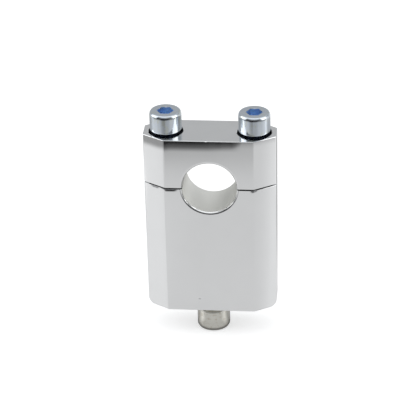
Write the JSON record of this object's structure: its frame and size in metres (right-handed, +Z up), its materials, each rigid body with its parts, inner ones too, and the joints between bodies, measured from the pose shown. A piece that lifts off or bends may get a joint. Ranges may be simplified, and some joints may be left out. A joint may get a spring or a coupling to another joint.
{
  "type": "motorcycle bar riser",
  "caption": "Handlebar riser: polished aluminium block with a bored clamp cap, socket head clamp screws and a mounting bolt in its base.",
  "frame": {"origin": "centre of the block's base face, on the mounting bolt's axis", "axes": "+Z up from the base, +Y along the handlebar's axis, +X across it; seen from the front, +X is to the right"},
  "size_m": [0.054, 0.0194, 0.1001],
  "materials": {
    "block_polish": "polished",
    "cap_polish": "polished",
    "zinc_screw": "bright blue zinc",
    "plain_bolt": "plain turned steel"
  },
  "bodies": {
    "block": {"riser_block": "block_polish"},
    "cap": {"clamp_cap": "cap_polish"},
    "left_screw": {"left_clamp_screw": "zinc_screw"},
    "right_screw": {"right_clamp_screw": "zinc_screw"},
    "base_bolt": {"mounting_bolt": "plain_bolt"}
  },
  "joints": [
    {"name": "cap_lift", "type": "slide", "parent": "block", "child": "cap", "axis": [0, 0, 1], "range_m": [0, 0.009]},
    {"name": "left_screw_turn", "type": "hinge", "parent": "block", "child": "left_screw", "pos_m": [-0.01795, 0, 0.0802], "axis": [0, 0, 1], "range_deg": [-2640, 3420]},
    {"name": "right_screw_turn", "type": "hinge", "parent": "block", "child": "right_screw", "pos_m": [0.01795, 0, 0.0802], "axis": [0, 0, 1], "range_deg": [-2640, 3420]},
    {"name": "base_bolt_turn", "type": "hinge", "parent": "block", "child": "base_bolt", "pos_m": [0, 0, -0.0027], "axis": [0, 0, 1], "range_deg": [-6480, 600]}
  ]
}
